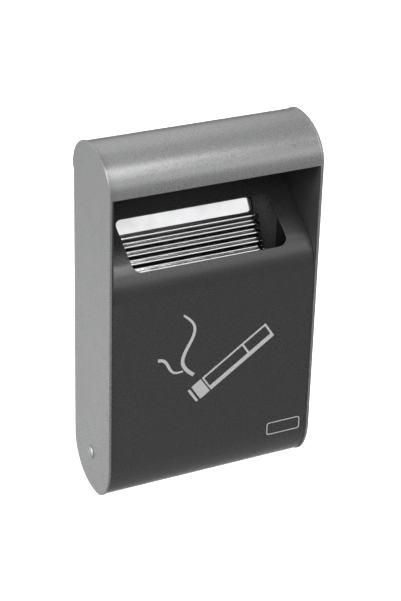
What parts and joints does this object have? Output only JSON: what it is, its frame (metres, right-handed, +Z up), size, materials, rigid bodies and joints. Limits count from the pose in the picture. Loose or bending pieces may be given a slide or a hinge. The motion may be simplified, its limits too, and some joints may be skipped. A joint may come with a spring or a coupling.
{
  "type": "wall-mounted ashtray bin",
  "caption": "Wall-hung ashtray bin: tall grey case with a rounded hood and a dark front that tilts forward, with a slot, a ribbed stub-out plate and an ash liner inside.",
  "frame": {"origin": "on the wall plane behind the wall bracket, at mid-width and mid-height of the case", "axes": "+X to the viewer's right, +Y back into the wall, +Z up"},
  "size_m": [0.2234, 0.085, 0.36],
  "materials": {
    "case_paint": "satin fine-textured powder coat, light metallic grey",
    "front_paint": "satin fine-textured powder coat, near-black grey",
    "stainless": "bright brushed stainless sheet",
    "rivet_steel": "plain steel rivet",
    "nylon": "natural nylon",
    "lock_chrome": "plated lock",
    "galvanised": "hot-dip galvanised sheet, light spangle",
    "zinc_plate": "zinc-plated steel"
  },
  "bodies": {
    "housing": {"hood_and_back": "case_paint", "left_cheek": "case_paint", "right_cheek": "case_paint", "wall_bracket": "zinc_plate", "left_back_screw": "zinc_plate", "right_back_screw": "zinc_plate", "left_pivot_rivet": "rivet_steel", "right_pivot_rivet": "rivet_steel", "left_pivot_washer": "nylon", "right_pivot_washer": "nylon", "left_stop_stud": "zinc_plate", "right_stop_stud": "zinc_plate", "lock_body": "lock_chrome", "lock_nut": "zinc_plate"},
    "front": {"front_panel": "front_paint", "left_side_plate": "front_paint", "right_side_plate": "front_paint", "stub_plate": "stainless", "left_stub_stud": "zinc_plate", "right_stub_stud": "zinc_plate", "left_stub_nut": "zinc_plate", "right_stub_nut": "zinc_plate", "lock_strike": "zinc_plate", "strike_rivet_1": "zinc_plate", "strike_rivet_2": "zinc_plate"},
    "liner": {"ash_liner": "galvanised"},
    "cam": {"lock_plug": "lock_chrome", "lock_cam": "zinc_plate", "cam_screw": "zinc_plate"}
  },
  "joints": [
    {"name": "front_tilt", "type": "hinge", "parent": "housing", "child": "front", "pos_m": [0, -0.043, -0.1396], "axis": [1, 0, 0], "range_deg": [0, 70]},
    {"name": "liner_lift", "type": "slide", "parent": "front", "child": "liner", "axis": [0, 0, 1], "range_m": [0, 0.018]},
    {"name": "lock_turn", "type": "hinge", "parent": "housing", "child": "cam", "pos_m": [0.1, -0.0405, 0.158], "axis": [1, 0, 0], "range_deg": [0, 90]}
  ]
}
